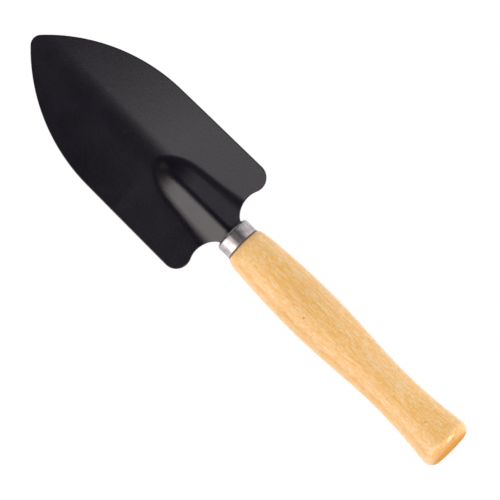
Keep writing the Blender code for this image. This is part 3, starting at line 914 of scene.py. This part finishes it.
def powder_coat():
    """Mottled near-black base, roughness that wanders, two sizes of orange-peel, dust specks."""
    finish = Finish(bpy.data.materials.new("black_powder_coat"))
    place = finish.object_place()
    peel = finish.noise(place, PEEL_SCALE, 2.0, 0.55)
    grain = finish.noise(place, GRAIN_SCALE, 1.0, 0.5)
    cloud = finish.noise(place, CLOUD_SCALE, 3.0, 0.55)
    cells = {"Vector": place, "Scale": DUST_SCALE}
    speck_distance = finish.node("ShaderNodeTexVoronoi", {"feature": "F1"}, cells)
    speck = finish.ramp(speck_distance, SPECK_EDGE, SPECK_CORE)
    mottle = finish.ramp(0.7 * grain + 0.3 * cloud, 0.40, 0.60)
    base = finish.mix(0.35 * speck, finish.mix(mottle, COAT_DARK, COAT_LIGHT), DUST)
    height = 0.6 * peel + 0.4 * grain + 0.8 * speck
    return finish.finished({
        "Base Color": base,
        "Roughness": 0.30 + 0.07 * cloud + 0.04 * peel + 0.3 * speck,
        "Specular IOR Level": COAT_GLOSS,
        "Normal": finish.bump(height, 1.0, COAT_RELIEF),
    })


# %% [markdown]
# ## Bright plated steel
# Nickel is a warm grey mirror. The drawing die leaves faint lines along the ferrule, polishing leaves
# finer ones round it, and handling a little haze. A pattern in the axis's own directions, stretched one
# way, gives such lines without a seam, because it is solid and only as long as it is stretched. The cut
# edge at the rear is painted dark, as painted shade of the narrow gap before the wood.

# %% Patterns along the handle
def along_handle(finish, place, width, length, origin=RIM_CENTRE):
    """Place from an origin in the axis's frame, in units of width across it and of length along it."""
    sockets = {"Vector": place, "Location": tuple(origin),
               "Rotation": (0.0, math.pi / 2 + TILT, 0.0), "Scale": (width, width, length)}
    return finish.node("ShaderNodeMapping", {"vector_type": "TEXTURE"}, sockets)


def fibres(finish, place, width, length, detail, roughness):
    """Noise whose bumps are width across the axis and length along it, in metres."""
    return finish.noise(along_handle(finish, place, width, length), 1.0, detail, roughness)


def back_along(finish, place):
    """How far behind the ferrule's rim a place lies along the axis, in metres."""
    local = along_handle(finish, place, 1.0, 1.0)
    return 0.0 - finish.node("ShaderNodeSeparateXYZ", None, {0: local}, 2)


# %% Plated steel
# Width and length of the lines in metres, and the detail and roughness of their noise
DRAWN_LINES = (0.00055, 0.012, 3.0, 0.6)
POLISHED_LINES = (0.0040, 0.00012, 1.0, 0.5)
HAZE_SCALE = 420.0
DULL_SHARE = 0.55
CLEAR_SHARE = 1.2
# The rear cut edge's span and dark tint are painted shade of the gap before the wood.
CUT_EDGE_SHADE = (FERRULE_LENGTH - 0.0001, FERRULE_LENGTH + 0.0001)
CUT_EDGE_SHADE_TINT = colour(0.10, 0.065, 0.05)
LINE_RELIEF = 0.000012


def plated_steel(name, tint, roughness):
    """Metal with drawing lines along the axis, polishing lines round it, haze, and painted shade at the
    rear cut edge.
    """
    finish = Finish(bpy.data.materials.new(name))
    place = finish.object_place()
    lines = 0.75 * fibres(finish, place, *DRAWN_LINES) + 0.25 * fibres(finish, place, *POLISHED_LINES)
    haze = finish.noise(place, HAZE_SCALE, 3.0, 0.6)
    dull = colour(*[DULL_SHARE * part for part in tint])
    clear = colour(*[CLEAR_SHARE * part for part in tint])
    base = finish.mix(finish.ramp(0.3 * haze + 0.7 * lines, 0.36, 0.62), dull, clear)
    # Painted shade: the rear cut edge is darkened as the gap before the wood.
    cut_edge_shade = finish.ramp(back_along(finish, place), *CUT_EDGE_SHADE)
    return finish.finished({
        "Base Color": finish.mix(cut_edge_shade, base, CUT_EDGE_SHADE_TINT),
        "Metallic": 1.0,
        "Roughness": roughness + 0.10 * (haze - 0.5) + 0.08 * (lines - 0.5) + 0.4 * cut_edge_shade,
        "Normal": finish.bump(lines, 0.35, LINE_RELIEF),
    })


# %% [markdown]
# ## Varnished wood
# The handle is a pale, close-grained hardwood. Its figure is a sum of noises, each stretched its own way:
# wide faint growth bands, long thin streaks, shorter threads, pores, the fine rings that the turning
# chisel left, and soft patches. Short dark dashes are cut rays. All are solid patterns in the handle's
# own axis, so they run out over the butt as real grain does. The end grain drinks the varnish, so it is
# darker and the clear coat fades out on it; its darkening is partly painted shade, where the butt's
# rounded edge and end turn from the light. Just before it, where the varnish ran when the handle was
# dipped, the coat is thickest. Both ends of the grip are painted a shade paler than its middle, the front
# slope most of all: painted light where these slopes face away from the lamps. Beside the ferrule a brown
# line is painted shade of the narrow gap there.

# %% Wood
# Share in the figure, then width and length in metres and the detail and roughness of the noise
FIGURE = {
    "bands": (0.08, (0.0030, 0.090, 3.0, 0.5)),
    "streaks": (0.33, (0.00034, 0.013, 2.0, 0.6)),
    "threads": (0.27, (0.00027, 0.0036, 2.0, 0.5)),
    "pores": (0.14, (0.00030, 0.0007, 1.0, 0.5)),
    "rings": (0.12, (0.0022, 0.00038, 1.0, 0.5)),
    "patches": (0.06, (0.0035, 0.0060, 3.0, 0.55)),
}
DASHES = (0.00034, 0.0022, 0.0, 0.5)

# How far behind the rim each change along the handle begins and is complete, in metres
# The first three spans are painted light: the grip's ends are made paler where their slopes face away
# from the lamps.
PAINTED_LIGHT_FRONT_SLOPE = (SHOULDER_BACK + 0.0080, SHOULDER_BACK + 0.0020)
PAINTED_LIGHT_FRONT_PART = (SHOULDER_BACK + 0.045, SHOULDER_BACK + 0.015)
PAINTED_LIGHT_REAR_PART = (BUTT_BACK - 0.045, BUTT_BACK - 0.030)
# A line of painted shade in the gap beside the ferrule.
GAP_SHADE_LINE = (SHOULDER_BACK + 0.0010, SHOULDER_BACK + 0.0004)
THICK_VARNISH = (BUTT_BACK - 0.0090, BUTT_BACK - 0.0050)
# End grain, and painted shade where the butt's rounded edge and end turn from the light.
END_GRAIN_AND_SHADE = (BUTT_BACK - 0.0036, BUTT_BACK + 0.0004)
OPEN_GRAIN = (BUTT_BACK - 0.0014, BUTT_BACK - 0.0001)

ORANGE = colour(0.835, 0.435, 0.074)
PALE = colour(0.892, 0.645, 0.350)
# Paler copies of the two wood colours, painted light for the grip's ends.
ORANGE_PAINTED_LIGHT = colour(1.0, 0.54, 0.105)
PALE_PAINTED_LIGHT = colour(1.0, 0.76, 0.43)
DASH_TINT = colour(0.72, 0.33, 0.07)
# The end grain's darker colour, partly painted shade.
END_GRAIN_AND_SHADE_TINT = colour(0.70, 0.31, 0.055)
# Painted shade of the gap beside the ferrule.
GAP_SHADE_TINT = colour(0.44, 0.22, 0.10)

VARNISH = 0.5
VARNISH_RUN = 0.45
VARNISH_IOR = 1.5
VARNISH_ROUGHNESS = 0.20
WOOD_GLOSS = 0.2
WOOD_RELIEF = 0.00005

# Back and out, length and width in metres, strength, colour
MARKS = {
    "fleck_by_swell": (0.0480, 0.0033, 0.0011, 0.0008, 0.60, colour(0.72, 0.27, 0.030)),
    "second_fleck": (0.0559, 0.0047, 0.0009, 0.0006, 0.85, colour(0.38, 0.15, 0.045)),
    "red_fleck": (0.1045, -0.0098, 0.0012, 0.0009, 0.50, colour(0.50, 0.17, 0.045)),
    "faint_fleck": (0.1110, 0.0044, 0.0010, 0.0008, 0.35, colour(0.55, 0.22, 0.060)),
    "orange_hair": (0.1320, -0.0006, 0.0006, 0.0016, 0.55, colour(0.66, 0.24, 0.025)),
    "speck_by_butt": (0.1469, -0.0044, 0.0006, 0.0006, 0.70, colour(0.50, 0.17, 0.030)),
}


def mark_mask(finish, place, back, out, length, width):
    """1 at a spot on the grip's upper side, falling to 0 over an oval of length by width."""
    radius = float(np.interp(back, grip[:, 0], grip[:, 1]))
    spot = on_axis(back, out, math.sqrt(radius ** 2 - out ** 2))
    local = along_handle(finish, place, width, length, spot)
    distance = finish.node("ShaderNodeVectorMath", {"operation": "LENGTH"}, {0: local}, 1)
    return finish.ramp(distance, 1.0, 0.3)


def varnished_wood():
    """A streaky figure between orange and pale, paler ends as painted light, darker end grain partly
    painted shade, a line of painted shade by the ferrule, marks, and a clear coat.
    """
    finish = Finish(bpy.data.materials.new("varnished_wood"))
    place = finish.object_place()
    layers = {}
    figure = 0.0
    for name, (share, cells) in FIGURE.items():
        layers[name] = fibres(finish, place, *cells)
        figure = figure + share * layers[name]
    dash = finish.ramp(fibres(finish, place, *DASHES), 0.66, 0.76)

    back = back_along(finish, place)
    # Painted light: both ends of the grip, the front slope most, are paler where they face away from the
    # lamps.
    ends = (0.45 * finish.ramp(back, *PAINTED_LIGHT_FRONT_PART) + 0.55 * finish.ramp(back, *PAINTED_LIGHT_FRONT_SLOPE)
            + 0.25 * finish.ramp(back, *PAINTED_LIGHT_REAR_PART))
    orange = finish.mix(ends, ORANGE, ORANGE_PAINTED_LIGHT)
    pale = finish.mix(ends, PALE, PALE_PAINTED_LIGHT)
    base = finish.mix(finish.ramp(figure, 0.435, 0.565), orange, pale)
    base = finish.mix(0.35 * dash, base, DASH_TINT)
    # Darker end grain, partly painted shade where the butt's edge and end turn from the light.
    base = finish.mix(finish.ramp(back, *END_GRAIN_AND_SHADE), base, END_GRAIN_AND_SHADE_TINT)
    # Painted shade: a brown line in the gap beside the ferrule.
    base = finish.mix(finish.ramp(back, *GAP_SHADE_LINE), base, GAP_SHADE_TINT)
    for mark_back, out, length, width, strength, tint in MARKS.values():
        mask = mark_mask(finish, place, mark_back, out, length, width)
        base = finish.mix(strength * mask, base, tint)

    open_grain = finish.ramp(back, *OPEN_GRAIN)
    varnish = VARNISH + VARNISH_RUN * finish.ramp(back, *THICK_VARNISH)
    height = 0.5 * layers["streaks"] + 0.3 * layers["threads"] - 0.35 * dash
    return finish.finished({
        "Base Color": base,
        "Roughness": 0.42 + 0.12 * layers["patches"] + 0.4 * open_grain,
        "Specular IOR Level": WOOD_GLOSS,
        "Coat Weight": varnish * (1 - open_grain),
        "Coat Roughness": VARNISH_ROUGHNESS,
        "Coat IOR": VARNISH_IOR,
        "Normal": finish.bump(height, 0.18, WOOD_RELIEF),
    })


# %% [markdown]
# ## Dressing the frame
# Each piece takes its finish, replaces the solid whose place it has, and rides on the model's one body.

# %% Pieces onto the frame
FERRULE_TINT = (0.45, 0.42, 0.415)
FERRULE_ROUGHNESS = 0.37
NAIL_TINT = (0.60, 0.59, 0.57)
NAIL_ROUGHNESS = 0.30

for piece, node, material in (
    (blade, "blade", powder_coat()),
    (ferrule, "ferrule", plated_steel("plated_steel", FERRULE_TINT, FERRULE_ROUGHNESS)),
    (handle, "handle", varnished_wood()),
    (pin, "ferrule_pin", plated_steel("nail_steel", NAIL_TINT, NAIL_ROUGHNESS)),
):
    piece.data.materials.clear()
    piece.data.materials.append(material)
    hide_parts(node)
    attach(piece, "root")
    print(piece.name, "replaces", node, "in", material.name)
